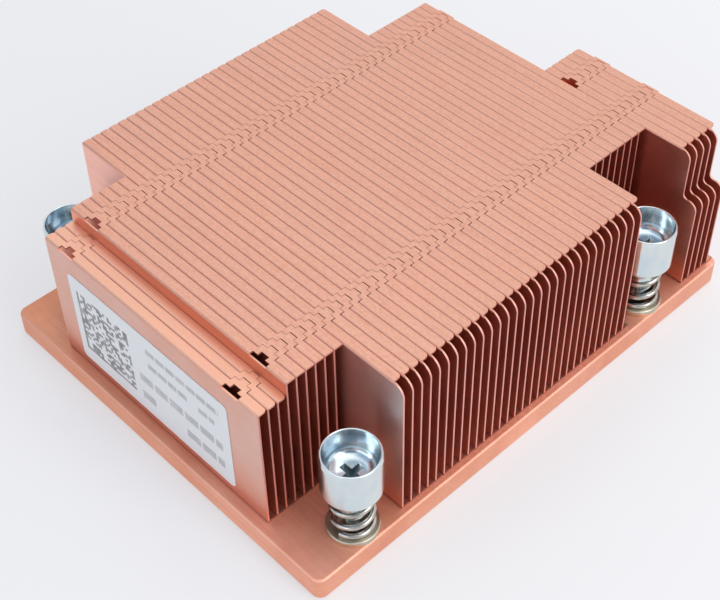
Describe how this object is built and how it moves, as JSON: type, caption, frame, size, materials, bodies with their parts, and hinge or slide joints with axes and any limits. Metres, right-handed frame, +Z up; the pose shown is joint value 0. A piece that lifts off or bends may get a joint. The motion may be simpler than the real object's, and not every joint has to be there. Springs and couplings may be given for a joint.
{
  "type": "passive server cpu heatsink",
  "caption": "Low passive heatsink: a flat copper base plate with interlocked folded copper fins and spring-loaded captive corner screws, which cools a server processor by duct air.",
  "frame": {"origin": "centre of the plate's cold face, which lies on the processor", "axes": "+X along the fins, +Y along the fin row from the labelled fin to the end fins, +Z up through the fins"},
  "size_m": [0.0774, 0.096, 0.0321],
  "materials": {
    "copper_plate": "machined copper, lightly brushed",
    "copper_fin": "bare rolled copper sheet, satin",
    "zinc_steel": "bright zinc plating with a bluish cast",
    "spring_steel": "bright round spring wire",
    "ferrule_steel": "nickel-plated turned steel",
    "label": "white label stock with plain grey bars"
  },
  "bodies": {
    "base": {"base_plate": "copper_plate", "label": "label", "ferrules": "ferrule_steel", "low_fin_01": "copper_fin", "low_fin_02": "copper_fin", "low_fin_03": "copper_fin", "front_fin_01": "copper_fin", "front_fin_02": "copper_fin", "front_fin_03": "copper_fin", "front_fin_04": "copper_fin", "front_fin_05": "copper_fin", "front_fin_06": "copper_fin", "wide_fin_01": "copper_fin", "wide_fin_02": "copper_fin", "wide_fin_03": "copper_fin", "wide_fin_04": "copper_fin", "wide_fin_05": "copper_fin", "wide_fin_06": "copper_fin", "wide_fin_07": "copper_fin", "wide_fin_08": "copper_fin", "wide_fin_09": "copper_fin", "wide_fin_10": "copper_fin", "wide_fin_11": "copper_fin", "wide_fin_12": "copper_fin", "wide_fin_13": "copper_fin", "wide_fin_14": "copper_fin", "wide_fin_15": "copper_fin", "wide_fin_16": "copper_fin", "wide_fin_17": "copper_fin", "wide_fin_18": "copper_fin", "wide_fin_19": "copper_fin", "wide_fin_20": "copper_fin", "wide_fin_21": "copper_fin", "wide_fin_22": "copper_fin", "wide_fin_23": "copper_fin", "wide_fin_24": "copper_fin", "wide_fin_25": "copper_fin", "wide_fin_26": "copper_fin", "wide_fin_27": "copper_fin", "wide_fin_28": "copper_fin", "wide_fin_29": "copper_fin", "wide_fin_30": "copper_fin", "rear_fin_01": "copper_fin", "rear_fin_02": "copper_fin", "rear_fin_03": "copper_fin", "rear_fin_04": "copper_fin", "rear_fin_05": "copper_fin", "rear_fin_06": "copper_fin", "rear_fin_07": "copper_fin", "rear_fin_08": "copper_fin", "end_fins": "copper_fin"},
    "spring_front_left": {"spring_front_left": "spring_steel"},
    "screw_front_left": {"screw_front_left": "zinc_steel"},
    "spring_front_right": {"spring_front_right": "spring_steel"},
    "screw_front_right": {"screw_front_right": "zinc_steel"},
    "spring_rear_left": {"spring_rear_left": "spring_steel"},
    "screw_rear_left": {"screw_rear_left": "zinc_steel"},
    "spring_rear_right": {"spring_rear_right": "spring_steel"},
    "screw_rear_right": {"screw_rear_right": "zinc_steel"}
  },
  "joints": [
    {"name": "press_front_left", "type": "slide", "parent": "base", "child": "spring_front_left", "axis": [0, 0, -1], "range_m": [0, 0.003], "stiffness_N_per_m": 3000, "springref_m": -0.001, "deforming": ["spring_front_left"]},
    {"name": "turn_front_left", "type": "hinge", "parent": "spring_front_left", "child": "screw_front_left", "pos_m": [-0.033, -0.0371, 0.0135], "axis": [0, 0, 1], "continuous": true},
    {"name": "press_front_right", "type": "slide", "parent": "base", "child": "spring_front_right", "axis": [0, 0, -1], "range_m": [0, 0.003], "stiffness_N_per_m": 3000, "springref_m": -0.001, "deforming": ["spring_front_right"]},
    {"name": "turn_front_right", "type": "hinge", "parent": "spring_front_right", "child": "screw_front_right", "pos_m": [0.0342, -0.0371, 0.0135], "axis": [0, 0, 1], "continuous": true},
    {"name": "press_rear_left", "type": "slide", "parent": "base", "child": "spring_rear_left", "axis": [0, 0, -1], "range_m": [0, 0.003], "stiffness_N_per_m": 3000, "springref_m": -0.001, "deforming": ["spring_rear_left"]},
    {"name": "turn_rear_left", "type": "hinge", "parent": "spring_rear_left", "child": "screw_rear_left", "pos_m": [-0.033, 0.0301, 0.0135], "axis": [0, 0, 1], "continuous": true},
    {"name": "press_rear_right", "type": "slide", "parent": "base", "child": "spring_rear_right", "axis": [0, 0, -1], "range_m": [0, 0.003], "stiffness_N_per_m": 3000, "springref_m": -0.001, "deforming": ["spring_rear_right"]},
    {"name": "turn_rear_right", "type": "hinge", "parent": "spring_rear_right", "child": "screw_rear_right", "pos_m": [0.0342, 0.0301, 0.0135], "axis": [0, 0, 1], "continuous": true}
  ]
}
